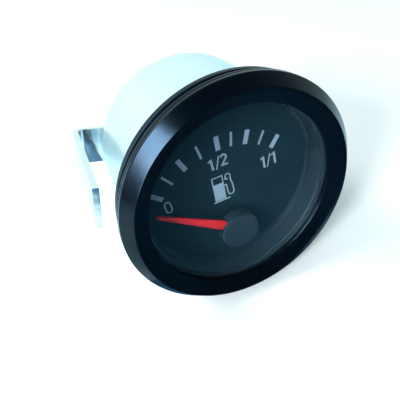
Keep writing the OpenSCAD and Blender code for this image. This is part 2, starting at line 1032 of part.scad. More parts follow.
module clamp_studs() {
  color([0.78, 0.8, 0.83])
    stud_places() {
      bar(stud_r, case_floor - stud_head, case_back + stud_out);
      bar(stud_r + head_over, case_floor - stud_head, case_floor);
      bar(stud_r + collar_over, case_back, case_back + stud_collar);
    }
}

// outline of the bracket in X and Y
module clamp_outline() {
  w = clamp_w / 2;
  in = w - strip_t;
  out_r = bend_r + strip_t;
  polygon(concat(
    [[-w, leg_gap]],
    [[-in, leg_gap]],
    arc([-in + bend_r, bar_y - bend_r], bend_r, 180, 90, 8),
    arc([in - bend_r, bar_y - bend_r], bend_r, 90, 0, 8),
    [[in, leg_gap], [w, leg_gap]],
    arc([w - out_r, bar_back - out_r], out_r, 0, 90, 10),
    arc([-w + out_r, bar_back - out_r], out_r, 90, 180, 10)
  ));
}

module clamp_bracket() {
  hole_r = stud_r + hole_fit;
  color([0.82, 0.86, 0.9])
    clamp_frame()
      difference() {
        translate([0, 0, -strip_w / 2])
          linear_extrude(height = strip_w)
            clamp_outline();
        for (s = [-1, 1]) {
          for (d = [-slot_half, slot_half])
            at(s * stud_pitch / 2 + d, 0)
              bar(hole_r, bar_y - 1, bar_back + 1);
          translate([s * stud_pitch / 2 - slot_half, bar_y - 1, -hole_r])
            cube([2 * slot_half, strip_t + 2, 2 * hole_r]);
        }
      }
}

module lock_washers() {
  color([0.7, 0.72, 0.74])
    stud_places()
      difference() {
        bar(stud_r + washer_over, washer_y, nut_y);
        bar(stud_r + hole_fit, washer_y - 1, nut_y + 1);
        translate([0, washer_y - 1, -washer_slit / 2])
          cube([stud_r + 2 * washer_over, washer_t + 2, washer_slit]);
      }
}

module clamp_nut(side) {
  e = nut_bevel;
  hub_r = stud_r + nut_hub_wall;
  nut_r = nut_d / 2;
  hole_r = stud_r + thread_fit;
  end = nut_y + nut_knurl;
  color([0.8, 0.78, 0.7])
    clamp_frame()
      at(side * stud_pitch / 2, 0)
        turned([[hole_r, nut_y], [nut_r - e, nut_y], [nut_r, nut_y + e], [nut_r, end - e],
          [nut_r - e, end], [hub_r, end], [hub_r, end + nut_hub - 0.3], [hub_r - 0.3, end + nut_hub],
          [hole_r, end + nut_hub]]);
}

module clamp_nut_left() {
  clamp_nut(-1);
}

module clamp_nut_right() {
  clamp_nut(1);
}

bezel_ring();
lens();
lens_seal();
panel_gasket();
case();
spacer_ring();
dial_plate();
scale_marks();
stop_pins();
pointer();
hub_cap();
counterweight();
spindle();
magnet_rotor();
front_bearing();
rear_bearing();
bobbin_front();
bobbin_rear();
coil_inner();
coil_outer();
shield_cup();
movement_plate();
plate_screws();
bobbin_screws();
light_box();
circuit_board();
ballast_resistor();
coil_pins();
terminal_ignition();
terminal_sender();
terminal_earth();
terminal_block();
lamp_holder();
lamp_contacts();
bulb_glass();
bulb_filament();
clamp_studs();
clamp_bracket();
lock_washers();
clamp_nut_left();
clamp_nut_right();
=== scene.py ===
"""Round panel fuel gauge: black bezel, glass, red pointer, bright can, clamp bracket, blades and lamp."""
import json
from math import atan2, cos, hypot, pi, radians, sin, tan

import bmesh
import bpy
from mathutils import Matrix, Vector


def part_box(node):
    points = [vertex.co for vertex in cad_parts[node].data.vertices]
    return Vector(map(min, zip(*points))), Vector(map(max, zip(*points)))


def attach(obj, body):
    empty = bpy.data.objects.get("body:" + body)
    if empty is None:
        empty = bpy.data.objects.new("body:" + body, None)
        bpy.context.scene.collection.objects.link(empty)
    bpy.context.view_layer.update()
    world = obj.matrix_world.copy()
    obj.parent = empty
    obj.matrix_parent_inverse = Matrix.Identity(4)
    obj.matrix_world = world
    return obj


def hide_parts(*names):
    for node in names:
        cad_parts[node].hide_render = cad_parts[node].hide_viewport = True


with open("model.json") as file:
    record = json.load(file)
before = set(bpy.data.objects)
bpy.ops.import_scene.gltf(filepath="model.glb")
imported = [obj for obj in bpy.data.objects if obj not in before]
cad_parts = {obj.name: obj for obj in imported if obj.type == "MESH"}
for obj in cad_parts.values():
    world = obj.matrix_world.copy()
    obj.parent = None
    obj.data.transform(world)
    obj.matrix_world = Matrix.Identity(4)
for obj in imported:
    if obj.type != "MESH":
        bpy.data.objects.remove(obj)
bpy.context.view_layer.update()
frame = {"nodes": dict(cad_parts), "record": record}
nodes = frame["nodes"]
mounts = {mount["name"]: mount for mount in frame["record"]["mounts"]}

# Units and smoothness
MM = 0.001
TURN_STEPS = 224
ARC_STEPS = 6
CREASE = radians(32)
FLAT = radians(0.6)
MERGE = 0.002 * MM

# Thickness of the dial's print, and the gap between the dial and its back
PAINT_T = 0.03 * MM
PAINT_GAP = 0.001 * MM

# Places and sizes from the frame, in metres
bezel_low, bezel_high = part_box("bezel_ring")
lens_low, lens_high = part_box("lens")
liner_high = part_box("spacer_ring")[1]
gasket_low, gasket_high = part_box("panel_gasket")
dial_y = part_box("dial_plate")[0].y
cap_low, cap_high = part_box("hub_cap")
case_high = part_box("case")[1]
stud_low, stud_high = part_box("clamp_studs")
nut_low, nut_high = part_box("clamp_nut_left")
lamp_low, lamp_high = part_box("lamp_holder")
wire_low, wire_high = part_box("bulb_filament")
case_r = mounts["case_body"]["dims"]["r_mm"] * MM
stud_r = mounts["stud_end_left"]["dims"]["r_mm"] * MM
pivot = (cap_low + cap_high) / 2
lamp_place = (lamp_low + lamp_high) / 2
nut_place = (nut_low + nut_high) / 2
clamp_turn = atan2(nut_place.z, -nut_place.x)
stud_reach = hypot(nut_place.x, nut_place.z)


# Making of meshes

def new_piece(name, mesh):
    """Object at the origin that holds a finished mesh."""
    piece = bpy.data.objects.new(name, mesh)
    bpy.context.scene.collection.objects.link(piece)
    return piece


def finished(work, name):
    """Piece from a bmesh, merged, with faces outwards."""
    bmesh.ops.remove_doubles(work, verts=work.verts, dist=MERGE)
    bmesh.ops.recalc_face_normals(work, faces=work.faces)
    mesh = bpy.data.meshes.new(name)
    work.to_mesh(mesh)
    work.free()
    return new_piece(name, mesh)


def applied(piece):
    """The piece with its modifiers made part of its mesh."""
    graph = bpy.context.evaluated_depsgraph_get()
    mesh = bpy.data.meshes.new_from_object(piece.evaluated_get(graph))
    piece.modifiers.clear()
    piece.data = mesh
    return piece


def shaded(piece):
    """The piece smooth except along its creases, with flat faces that shade flat up to their edges."""
    piece.data.shade_smooth()
    piece.data.set_sharp_from_angle(angle=CREASE)
    evened = piece.modifiers.new("even shading", "WEIGHTED_NORMAL")
    evened.keep_sharp = True
    return applied(piece)


def rounded(corners):
    """Closed outline in metres from corners (radius, y, fillet) in millimetres.

    A corner without a fillet stays sharp.
    """
    outline = []
    count = len(corners)
    for i, corner in enumerate(corners):
        here = Vector(corner[:2]) * MM
        fillet = corner[2] * MM if len(corner) > 2 else 0
        if not fillet:
            outline.append(here)
            continue
        to_last = (Vector(corners[i - 1][:2]) * MM - here).normalized()
        to_next = (Vector(corners[(i + 1) % count][:2]) * MM - here).normalized()
        half = to_last.angle(to_next) / 2
        middle = here + (to_last + to_next).normalized() * fillet / sin(half)
        start = here + to_last * fillet / tan(half) - middle
        end = here + to_next * fillet / tan(half) - middle
        sweep = end.angle_signed(start)
        for step in range(ARC_STEPS + 1):
            angle = atan2(start.y, start.x) + sweep * step / ARC_STEPS
            outline.append(middle + fillet * Vector((cos(angle), sin(angle))))
    return outline


def turned(name, outline, centre=(0, 0), steps=TURN_STEPS):
    """Turned piece about an axis along Y through centre (x, z), from a closed outline of (radius, y)."""
    work = bmesh.new()
    rings = []
    for radius, depth in outline:
        if radius < MERGE:
            pole = work.verts.new((centre[0], depth, centre[1]))
            rings.append([pole] * steps)
            continue
        ring = []
        for step in range(steps):
            angle = 2 * pi * step / steps
            ring.append(work.verts.new(
                (centre[0] + radius * cos(angle), depth, centre[1] + radius * sin(angle))))
        rings.append(ring)
    for ring, after in zip(rings, rings[1:] + rings[:1]):
        for step in range(steps):
            following = (step + 1) % steps
            loop = [ring[step], ring[following], after[following], after[step]]
            corners = list(dict.fromkeys(loop))
            if len(corners) > 2:
                work.faces.new(corners)
    return shaded(finished(work, name))


def softened(name, node, edge, segments=2, limit=35):
    """Merged copy of a solid of the frame, with its sharp edges rounded by edge in millimetres."""
    work = bmesh.new()
    work.from_mesh(nodes[node].data)
    bmesh.ops.remove_doubles(work, verts=work.verts, dist=MERGE)
    bmesh.ops.dissolve_limit(work, angle_limit=FLAT, verts=work.verts, edges=work.edges)
    mesh = bpy.data.meshes.new(name)
    work.to_mesh(mesh)
    work.free()
    piece = new_piece(name, mesh)
    bevel = piece.modifiers.new("rounded edges", "BEVEL")
    bevel.width = edge * MM
    bevel.segments = segments
    bevel.limit_method = "ANGLE"
    bevel.angle_limit = radians(limit)
    bevel.use_clamp_overlap = True
    return shaded(applied(piece))


def printed(name, cells):
    """Raised print on the dial from flat cells of (x, z) in millimetres from the pointer's axis."""
    work = bmesh.new()
    level = dial_y - PAINT_GAP
    for cell in cells:
        corners = [work.verts.new((pivot.x + x * MM, level, pivot.z + z * MM)) for x, z in cell]
        work.faces.new(corners)
    bmesh.ops.remove_doubles(work, verts=work.verts, dist=MERGE)
    bmesh.ops.recalc_face_normals(work, faces=work.faces)
    for face in work.faces:
        if face.normal.y > 0:
            face.normal_flip()
    mesh = bpy.data.meshes.new(name)
    work.to_mesh(mesh)
    work.free()
    piece = new_piece(name, mesh)
    body = piece.modifiers.new("paint", "SOLIDIFY")
    body.thickness = PAINT_T
    body.offset = 1
    return shaded(applied(piece))


# Making of finishes

class Wiring:
    """Short calls for the nodes of one tree."""

    def __init__(self, tree):
        self.tree = tree
        tree.nodes.clear()

    def node(self, kind, inputs=None, **settings):
        """New node with its settings made and its inputs fed."""
        made = self.tree.nodes.new(kind)
        for setting, value in settings.items():
            setattr(made, setting, value)
        for name, value in (inputs or {}).items():
            self.feed(made.inputs[name], value)
        return made

    def feed(self, socket, value):
        """Links a socket or a node's first output to the socket, or sets its value."""
        if isinstance(value, bpy.types.NodeSocket):
            self.tree.links.new(value, socket)
        elif isinstance(value, bpy.types.Node):
            self.tree.links.new(value.outputs[0], socket)
        else:
            socket.default_value = value

    def math(self, operation, first, second=0.0, third=0.0):
        """Sum, product or other result of up to three numbers."""
        return self.node("ShaderNodeMath", {0: first, 1: second, 2: third}, operation=operation)

    def between(self, factor, low, high):
        """Number from low to high as factor goes from 0 to 1."""
        return self.node("ShaderNodeMapRange", {"Value": factor, "To Min": low, "To Max": high})

    def ramp(self, value, ends, low=0.0, high=1.0):
        """Number that eases from low to high as value goes from one end to the other."""
        return self.node("ShaderNodeMapRange", {
            "Value": value, "From Min": ends[0], "From Max": ends[1], "To Min": low, "To Max": high},
            interpolation_type="SMOOTHSTEP")

    def share(self, factor, low, high):
        """Number mixed from low and high by factor."""
        return self.node("ShaderNodeMix", {0: factor, 2: low, 3: high}, data_type="FLOAT")

    def mix(self, factor, low, high):
        """Colour mixed from low and high by factor."""
        mixed = self.node("ShaderNodeMix", {"Factor": factor, 6: low, 7: high}, data_type="RGBA")
        return mixed.outputs[2]

    def noise(self, vector, size, detail=3.0, roughness=0.55):
        """Noise whose lumps are size millimetres apart."""
        return self.node("ShaderNodeTexNoise", {
            "Vector": vector, "Scale": 1 / (size * MM), "Detail": detail, "Roughness": roughness})


def colour_of(values, share=1.0):
    """Colour with its three values made lighter or darker by a share."""
    return tuple(min(1.0, value * share) for value in values[:3]) + (1.0,)


def new_material(name):
    """Empty material, kept under its name in finishes, and the wiring of its tree."""
    material = bpy.data.materials.new(name)
    material.use_nodes = True
    finishes[name] = material
    return Wiring(material.node_tree)


WORN_EDGE = 0.06
finishes = {}


def finish(name, colour, rough, metal=0.0, specular=0.5, cloud=9.0, tone=0.12, grain=0.25, lift=0.02,
           spread=0.06, stretch=(1, 1, 1), turn=0.0, wear=None, wear_share=0.0, sheen=(1, 1, 1), wave=0.0):
    """Surface finish of a solid material.

    cloud and grain are the sizes of its soft and fine variation in millimetres, tone is the share by which
    its colour varies, and spread that of its roughness. lift is the height of the grain and wave that of the
    soft unevenness, in millimetres. stretch and turn lay the grain along a direction. wear is the colour
    that shows through on wear_share of the surface, and sheen tints its gloss.
    """
    wiring = new_material(name)
    place = wiring.node("ShaderNodeTexCoord").outputs["Object"]
    laid = wiring.node("ShaderNodeMapping", {"Vector": place, "Rotation": (0, turn, 0), "Scale": stretch})
    clouds = wiring.noise(place, cloud, detail=3)
    grains = wiring.noise(laid.outputs[0], grain, detail=4, roughness=0.6)
    shade = wiring.mix(wiring.between(clouds.outputs[0], 0, 1),
                       colour_of(colour, 1 - tone), colour_of(colour, 1 + tone))
    shade = wiring.mix(wiring.between(grains.outputs[0], 0, tone), shade, colour_of(colour, 1 + 3 * tone))
    roughness = wiring.math("ADD", wiring.between(grains.outputs[0], rough - spread, rough + spread),
                            wiring.between(clouds.outputs[0], -spread / 2, spread / 2))
    if wear:
        marks = wiring.noise(laid.outputs[0], cloud / 3, detail=8, roughness=0.7)
        edge = 0.5 + (0.5 - wear_share) / 2
        worn = wiring.node("ShaderNodeMapRange", {
            "Value": marks.outputs[0], "From Min": edge, "From Max": edge + WORN_EDGE})
        shade = wiring.mix(worn, shade, colour_of(wear))
    raised = wiring.node("ShaderNodeBump", {
        "Strength": 1.0, "Distance": lift * MM, "Height": grains.outputs[0]})
    if wave:
        waves = wiring.noise(place, cloud, detail=2)
        raised = wiring.node("ShaderNodeBump", {
            "Strength": 1.0, "Distance": wave * MM, "Height": waves.outputs[0], "Normal": raised})
    shader = wiring.node("ShaderNodeBsdfPrincipled", {
        "Base Color": shade, "Roughness": roughness, "Metallic": metal, "Specular IOR Level": specular,
        "Specular Tint": colour_of(sheen), "Normal": raised})
    wiring.node("ShaderNodeOutputMaterial", {"Surface": shader})


def clear_finish(name, colour, rough, mirror_tint=(1, 1, 1)):
    """Clear glass that lets lamps through to what is behind it, with faint smears."""
    wiring = new_material(name)
    place = wiring.node("ShaderNodeTexCoord").outputs["Object"]
    smears = wiring.noise(place, 7, detail=6, roughness=0.65)
    glass = wiring.node("ShaderNodeBsdfPrincipled", {
        "Base Color": colour_of(colour), "Roughness": wiring.between(smears.outputs[0], 0, 2 * rough),
        "IOR": 1.45, "Transmission Weight": 1.0, "Specular Tint": colour_of(mirror_tint)})
    clear = wiring.node("ShaderNodeBsdfTransparent", {"Color": colour_of(colour)})
    ray = wiring.node("ShaderNodeLightPath")
    mixed = wiring.node("ShaderNodeMixShader", {0: ray.outputs["Is Shadow Ray"], 1: glass, 2: clear})
    wiring.node("ShaderNodeOutputMaterial", {"Surface": mixed})


ALONG_STRIP = (0.04, 0.04, 1)
ALONG_AXIS = (1, 0.03, 1)
ALONG_WIRE = (0.05, 1, 0.05)
finish("black_lacquer", (0.0006, 0.002, 0.004), 0.18, specular=0.2, grain=0.22, lift=0.008, tone=0.25,
       spread=0.04, sheen=(0.55, 0.78, 1.0))
clear_finish("clear_glass", (0.97, 1.0, 1.0), 0.01, mirror_tint=(0.4, 0.65, 0.6))
finish("black_rubber", (0.002, 0.006, 0.01), 0.4, specular=0.16, grain=0.12, lift=0.004,
       sheen=(0.4, 0.7, 1.0))
finish("zinc_plated_steel", (0.8, 0.96, 0.97), 0.3, metal=0.85, grain=0.3, lift=0.001, stretch=ALONG_AXIS,
       tone=0.05, spread=0.05)
finish("grey_liner", (0.0085, 0.0135, 0.0165), 0.33, specular=0.3, grain=0.34, lift=0.014,
       sheen=(0.7, 0.85, 1.0))
finish("dial_paint", (0.0058, 0.0135, 0.0168), 0.55, specular=0.02, grain=0.2, lift=0.0001, tone=0.05,
       spread=0.01)
finish("mark_paint", (0.19, 0.24, 0.28), 0.6, specular=0.05, grain=0.1, lift=0.003, tone=0.08)
finish("bright_steel", (0.62, 0.64, 0.66), 0.28, metal=1.0, grain=0.15, lift=0.002, stretch=ALONG_AXIS)
finish("pointer_red", (0.37, 0.008, 0.01), 0.4, specular=0.12, grain=0.1, lift=0.001, tone=0.06)
finish("black_plastic", (0.0085, 0.014, 0.018), 0.52, specular=0.1, grain=0.14, lift=0.004,
       sheen=(0.5, 0.8, 1.0))
finish("brass", (0.72, 0.5, 0.2), 0.3, metal=1.0, grain=0.1, lift=0.002)
finish("magnet_grey", (0.06, 0.06, 0.065), 0.5, metal=0.6, grain=0.2, lift=0.008)
finish("copper", (0.62, 0.2, 0.07), 0.34, metal=1.0, grain=0.2, lift=0.02, stretch=ALONG_WIRE)
finish("white_plastic", (0.78, 0.78, 0.74), 0.5, grain=0.2, lift=0.004, tone=0.05)
finish("board_green", (0.015, 0.13, 0.045), 0.36, grain=0.3, lift=0.006, tone=0.2)
finish("resistor_tan", (0.5, 0.36, 0.2), 0.4, grain=0.2, lift=0.008)
finish("tinned_brass", (0.74, 0.68, 0.52), 0.3, metal=1.0, grain=0.12, lift=0.002, stretch=ALONG_AXIS,
       tone=0.1, wear=(0.66, 0.48, 0.2), wear_share=0.12)
clear_finish("bulb_clear", (0.98, 0.99, 1.0), 0.01)
finish("filament_grey", (0.3, 0.3, 0.32), 0.4, metal=1.0, grain=0.05, lift=0.002)
finish("clamp_steel", (0.94, 0.98, 0.99), 0.12, metal=1.0, cloud=7.0, grain=0.22, lift=0.0008,
       stretch=ALONG_STRIP, turn=-clamp_turn, tone=0.04, spread=0.04, wave=0.12)
finish("nut_brass", (0.74, 0.7, 0.6), 0.3, metal=1.0, grain=0.12, lift=0.003, tone=0.1,
       wear=(0.6, 0.45, 0.22), wear_share=0.15)

# Finish of each solid of the frame
slot_of = {part["node"]: part["material_slot"] for part in frame["record"]["subparts"]}
for node, slot_name in slot_of.items():
    nodes[node].data.materials.clear()
    nodes[node].data.materials.append(finishes[slot_name])


def fit(piece, body, *stands_for):
    """Puts a finished piece on its body, in place of its solids, with their finish."""
    slot_name = slot_of[stands_for[0]]
    piece.data.materials.clear()
    piece.data.materials.append(finishes[slot_name])
    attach(piece, body)
    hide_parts(*stands_for)
    return piece


# Repeated detail by Geometry Nodes

class Pattern:
    """Geometry Nodes tree with named sizes."""

    def __init__(self, name, sizes):
        self.tree = bpy.data.node_groups.new(name, "GeometryNodeTree")
        self.tree.interface.new_socket("Body", in_out="INPUT", socket_type="NodeSocketGeometry")
        self.tree.interface.new_socket("Body", in_out="OUTPUT", socket_type="NodeSocketGeometry")
        self.sockets = {}
        for size, value in sizes.items():
            kind = "NodeSocketInt" if isinstance(value, int) else "NodeSocketFloat"
            socket = self.tree.interface.new_socket(size, in_out="INPUT", socket_type=kind)
            self.sockets[size] = (socket.identifier, value)
        self.wiring = Wiring(self.tree)
        self.sizes = self.wiring.node("NodeGroupInput").outputs

    def math(self, operation, first, second=0.0):
        return self.wiring.node("ShaderNodeMath", {0: first, 1: second}, operation=operation).outputs[0]

    def point(self, x=0.0, y=0.0, z=0.0):
        return self.wiring.node("ShaderNodeCombineXYZ", {"X": x, "Y": y, "Z": z}).outputs[0]

    def box(self, x, y, z):
        return self.wiring.node("GeometryNodeMeshCube", {"Size": self.point(x, y, z)}).outputs["Mesh"]

    def moved(self, geometry, place, rotation=(0, 0, 0)):
        return self.wiring.node("GeometryNodeTransform", {
            "Geometry": geometry, "Translation": place, "Rotation": rotation}).outputs[0]

    def row(self, count):
        """Points without a place yet, one for each copy."""
        return self.wiring.node("GeometryNodeMeshLine", {"Count": count, "Offset": (0, 0, 0)}).outputs[0]

    def copies(self, points, shape, place, rotation, scale=(1, 1, 1)):
        """Copies of a shape, one at each point, after the points go to their place."""
        put = self.wiring.node("GeometryNodeSetPosition", {"Geometry": points, "Position": place})
        return self.wiring.node("GeometryNodeInstanceOnPoints", {
            "Points": put, "Instance": shape, "Rotation": rotation, "Scale": scale}).outputs[0]

    def index(self):
        return self.wiring.node("GeometryNodeInputIndex").outputs[0]

    def made(self, name, parts, material, base=None):
        """Plain piece from the tree's parts, each a geometry socket."""
        joint = self.wiring.node("GeometryNodeJoinGeometry")
        for part in parts:
            self.tree.links.new(part, joint.inputs[0])
        real = self.wiring.node("GeometryNodeRealizeInstances", {"Geometry": joint})
        dressed = self.wiring.node("GeometryNodeSetMaterial", {"Geometry": real, "Material": material})
        output = self.wiring.node("NodeGroupOutput")
        self.tree.links.new(dressed.outputs[0], output.inputs[0])
        mesh = base.data if base else bpy.data.meshes.new(name)
        maker = new_piece(name + "_maker", mesh)
        modifier = maker.modifiers.new(name, "NODES")
        modifier.node_group = self.tree
        for identifier, value in self.sockets.values():
            modifier[identifier] = value
        graph = bpy.context.evaluated_depsgraph_get()
        result = bpy.data.meshes.new_from_object(maker.evaluated_get(graph))
        maker.modifiers.clear()
        bpy.data.objects.remove(maker)
        if base:
            bpy.data.objects.remove(base)
        work = bmesh.new()
        work.from_mesh(result)
        bmesh.ops.recalc_face_normals(work, faces=work.faces)
        work.to_mesh(result)
        work.free()
        return shaded(new_piece(name, result))


# Bezel, glass, gasket and liner, in millimetres
CASE_FIT = 0.1
GLASS_HELD = 1.7
CREST_RISE = 3.0
CREST_IN = 2.5
CREST_FLAT = 0.5
BEVEL_END = (0.62, 0.42)
BEVEL_SEAT = 0.6
SHOULDER_SOFT = 0.2
CURL_IN = 0.8
CURL_BACK = 0.7
CURL_T = 0.6
GROOVE_BACK = 0.85
GROOVE_HALF = 0.22
GROOVE_DEPTH = 0.5
bezel_r = bezel_high.x / MM
crest_y = bezel_low.y / MM
bezel_back = bezel_high.y / MM
lens_r = lens_high.x / MM
lens_y = lens_low.y / MM
lens_back = lens_high.y / MM
opening_r = lens_r - GLASS_HELD
shoulder_y = crest_y + CREST_RISE
crest_r = bezel_r - CREST_IN
side_back = bezel_back - CURL_BACK
groove_y = side_back - GROOVE_BACK
curl_r = bezel_r - CURL_IN
seat_r = case_r / MM + CASE_FIT
bezel = turned("bezel", rounded([
    (opening_r, lens_y),
    (opening_r, lens_y - BEVEL_SEAT, 0.16),
    (crest_r - BEVEL_END[0], crest_y + BEVEL_END[1], 0.06),
    (crest_r - CREST_FLAT, crest_y, 0.12),
    (crest_r, crest_y, 0.2),
    (bezel_r, shoulder_y - SHOULDER_SOFT, 0.5),
    (bezel_r, groove_y - GROOVE_HALF, 0.06),
    (bezel_r - GROOVE_DEPTH, groove_y, 0.06),
    (bezel_r, groove_y + GROOVE_HALF, 0.06),
    (bezel_r, side_back, 0.28),
    (curl_r, side_back, 0.06),
    (curl_r, bezel_back, 0.3),
    (seat_r, bezel_back, 0.2),
    (seat_r, bezel_back - CURL_T),
    (curl_r - CASE_FIT, bezel_back - CURL_T),
    (curl_r - CASE_FIT, lens_y),
]))
fit(bezel, "gauge", "bezel_ring")

glass = turned("glass", rounded([
    (0, lens_y), (lens_r, lens_y, 0.15), (lens_r, lens_back, 0.15), (0, lens_back)]))
fit(glass, "gauge", "lens")

GASKET_STEP_IN = 0.7
GASKET_STEP_T = 1.6
gasket_r = gasket_high.x / MM
gasket_y = gasket_low.y / MM
gasket_back = gasket_high.y / MM
gasket_step = gasket_y + GASKET_STEP_T
gasket = turned("gasket", rounded([
    (seat_r, gasket_y, 0.1),
    (gasket_r - GASKET_STEP_IN, gasket_y, 0.1),
    (gasket_r - GASKET_STEP_IN, gasket_step, 0.1),
    (gasket_r, gasket_step, 0.2),
    (gasket_r, gasket_back, 0.2),
    (seat_r, gasket_back, 0.1),
]))
fit(gasket, "gauge", "panel_gasket")

LIP_IN = 0.3
LIP_T = 1.2
LINER_GROOVE_AT = 1.8
LINER_GROOVE_W = 0.3
liner_r = liner_high.x / MM
dial_face = dial_y / MM
wall_r = opening_r - 0.1
foot_r = wall_r - 0.2
liner_step = lens_back + LIP_T
liner_groove = dial_face - LINER_GROOVE_AT
liner = turned("liner", rounded([
    (liner_r, lens_back),
    (opening_r + LIP_IN, lens_back, 0.1),
    (opening_r + LIP_IN, liner_step, 0.05),
    (wall_r, liner_step, 0.15),
    (wall_r, liner_groove, 0.08),
    (wall_r + LINER_GROOVE_W, liner_groove, 0.05),
    (wall_r + LINER_GROOVE_W, liner_groove + LINER_GROOVE_W, 0.05),
    (foot_r, liner_groove + LINER_GROOVE_W, 0.1),
    (foot_r, dial_face),
    (liner_r, dial_face),
]))
fit(liner, "gauge", "spacer_ring")

can = softened("can", "case", 0.12)
fit(can, "gauge", "case")


# Graduations, numerals and pump sign
ZERO_ANGLE = radians(137.8)
HALF_ANGLE = radians(90)
FULL_ANGLE = radians(50.3)
SCALE_BEND = 1.08
TICK_IN = 21.8 * MM
TICK_OUT = 25.5 * MM
TICK_LIFT = 0.55

scale = Pattern("graduations", {
    "Count": 9, "Inner radius": TICK_IN, "Outer radius": TICK_OUT, "Broad": 1.25 * MM, "Fine": 0.6 * MM,
    "Paint": PAINT_T, "Zero angle": ZERO_ANGLE, "Half angle": HALF_ANGLE, "Full angle": FULL_ANGLE,
    "Bend": SCALE_BEND})
size = scale.sizes
number = scale.index()
half_count = scale.math("DIVIDE", scale.math("SUBTRACT", size["Count"], 1), 2)
lower_share = scale.math("MINIMUM", scale.math("DIVIDE", number, half_count), 1)
past_half = scale.math("MAXIMUM", scale.math("SUBTRACT", scale.math("DIVIDE", number, half_count), 1), 0)
upper_share = scale.math("POWER", past_half, size["Bend"])
lower_sweep = scale.math("SUBTRACT", size["Zero angle"], size["Half angle"])
upper_sweep = scale.math("SUBTRACT", size["Half angle"], size["Full angle"])
lower_turn = scale.math("MULTIPLY", lower_share, lower_sweep)
upper_turn = scale.math("MULTIPLY", upper_share, upper_sweep)
tick_angle = scale.math("SUBTRACT", scale.math("SUBTRACT", size["Zero angle"], lower_turn), upper_turn)
tick_r = scale.math("DIVIDE", scale.math("ADD", size["Inner radius"], size["Outer radius"]), 2)
tick_len = scale.math("SUBTRACT", size["Outer radius"], size["Inner radius"])
is_fine = scale.math("MODULO", number, 2)
thinning = scale.math("MULTIPLY", is_fine, scale.math("SUBTRACT", size["Broad"], size["Fine"]))
tick_w = scale.math("SUBTRACT", size["Broad"], thinning)
tick_x = scale.math("MULTIPLY", tick_r, scale.math("COSINE", tick_angle))
tick_z = scale.math("MULTIPLY", tick_r, scale.math("SINE", tick_angle))
tick_y = scale.math("SUBTRACT", dial_y, scale.math("MULTIPLY", size["Paint"], TICK_LIFT))
ticks = scale.copies(
    scale.row(size["Count"]),
    scale.box(1.0, 1.0, 1.0),
    scale.point(scale.math("ADD", tick_x, pivot.x), tick_y, scale.math("ADD", tick_z, pivot.z)),
    scale.point(0.0, scale.math("MULTIPLY", tick_angle, -1), 0.0),
    scale.point(tick_len, size["Paint"], tick_w))
graduations = scale.made("graduations", [ticks], finishes["mark_paint"])
fit(graduations, "gauge", "scale_marks")

# Widths of the printed strokes, in millimetres
STROKE = 0.46
SLASH_W = 0.34
HOSE_W = 0.36
SPOUT_W = 0.42
STEM_EXTRA = 0.14
MITRE_LEAST = 0.35


def bar_cell(start, end, width):
    """Four corners of a straight stroke."""
    start, end = Vector(start), Vector(end)
    along = (end - start).normalized()
    side = Vector((-along.y, along.x)) * width / 2
    return [tuple(corner) for corner in (start - side, end - side, end + side, start + side)]


def ribbon(path, width, closed=False):
    """Cells of one stroke of even width along a path."""
    points = [Vector(point) for point in path]
    count = len(points)
    sides = []
    for i, point in enumerate(points):
        last = points[i - 1] if i or closed else point
        following = points[(i + 1) % count] if i + 1 < count or closed else point
        into = (point - last).normalized() if point != last else (following - point).normalized()
        out = (following - point).normalized() if following != point else into
        mean = (into + out).normalized()
        side = Vector((-mean.y, mean.x)) * width / 2 / max(MITRE_LEAST, mean.dot(into))
        sides.append((tuple(point - side), tuple(point + side)))
    pairs = zip(sides, sides[1:] + (sides[:1] if closed else []))
    return [[first[0], after[0], after[1], first[1]] for first, after in pairs]


def arc_points(centre, radius, start, end, steps=14):
    """Points of an arc between two angles in degrees."""
    angles = [radians(start + (end - start) * step / steps) for step in range(steps + 1)]
    return [(centre[0] + radius * cos(angle), centre[1] + radius * sin(angle)) for angle in angles]


def digit_one(foot, top):
    """One with its short flag, from its foot to its top."""
    stem = bar_cell(foot, top, STROKE + STEM_EXTRA)
    flag = bar_cell((top[0] - 0.78, top[1] - 0.72), (top[0] - 0.05, top[1] - 0.2), STROKE * 0.9)
    return [stem, flag]


def digit_two(left, low, width, height):
    """Two with a round head, a slanting neck and a flat foot."""
    radius = (width - STROKE) / 2
    middle = (left + width / 2, low + height - radius - STROKE / 2)
    head = arc_points(middle, radius, 165, -38)
    neck = [(left + STROKE * 0.62, low + STROKE * 0.6)]
    foot = bar_cell((left, low + STROKE / 2), (left + width, low + STROKE / 2), STROKE)
    return ribbon(head + neck, STROKE) + [foot]


def digit_zero(centre, width, height, lean, stroke):
    """Nought with straight sides, leaning by an angle in degrees."""
    radius = (width - stroke) / 2
    rise = (height - width) / 2
    loop = arc_points((0, rise), radius, 0, 180) + arc_points((0, -rise), radius, 180, 360)
    tilt = Matrix.Rotation(radians(lean), 2)
    return ribbon([tuple(tilt @ Vector(point) + Vector(centre)) for point in loop], stroke, closed=True)


# Numerals, placed in millimetres from the pointer's axis
half_mark = digit_one((-2.2, 17.0), (-2.4, 20.1)) + [bar_cell((-1.3, 16.8), (-0.2, 20.3), SLASH_W)]
half_mark += digit_two(0.02, 17.2, 1.88, 3.25)
full_mark = digit_one((11.7, 11.7), (11.5, 15.15)) + [bar_cell((12.5, 11.6), (13.55, 15.35), SLASH_W)]
full_mark += digit_one((14.9, 11.9), (14.7, 15.3))
zero_mark = digit_zero((-15.45, 11.9), 1.85, 3.5, lean=4, stroke=0.36)
numerals = printed("numerals", half_mark + full_mark)
fit(numerals, "gauge", "scale_marks")
nought = printed("nought", zero_mark)
fit(nought, "gauge", "scale_marks")

# Size and place of the pump sign, from its lower left corner
PUMP_LEFT = -3.27
PUMP_LOW = 7.65
PUMP_W = 3.07
PUMP_H = 7.15
WINDOW_LOW = 4.95
FRAME_W = 0.3


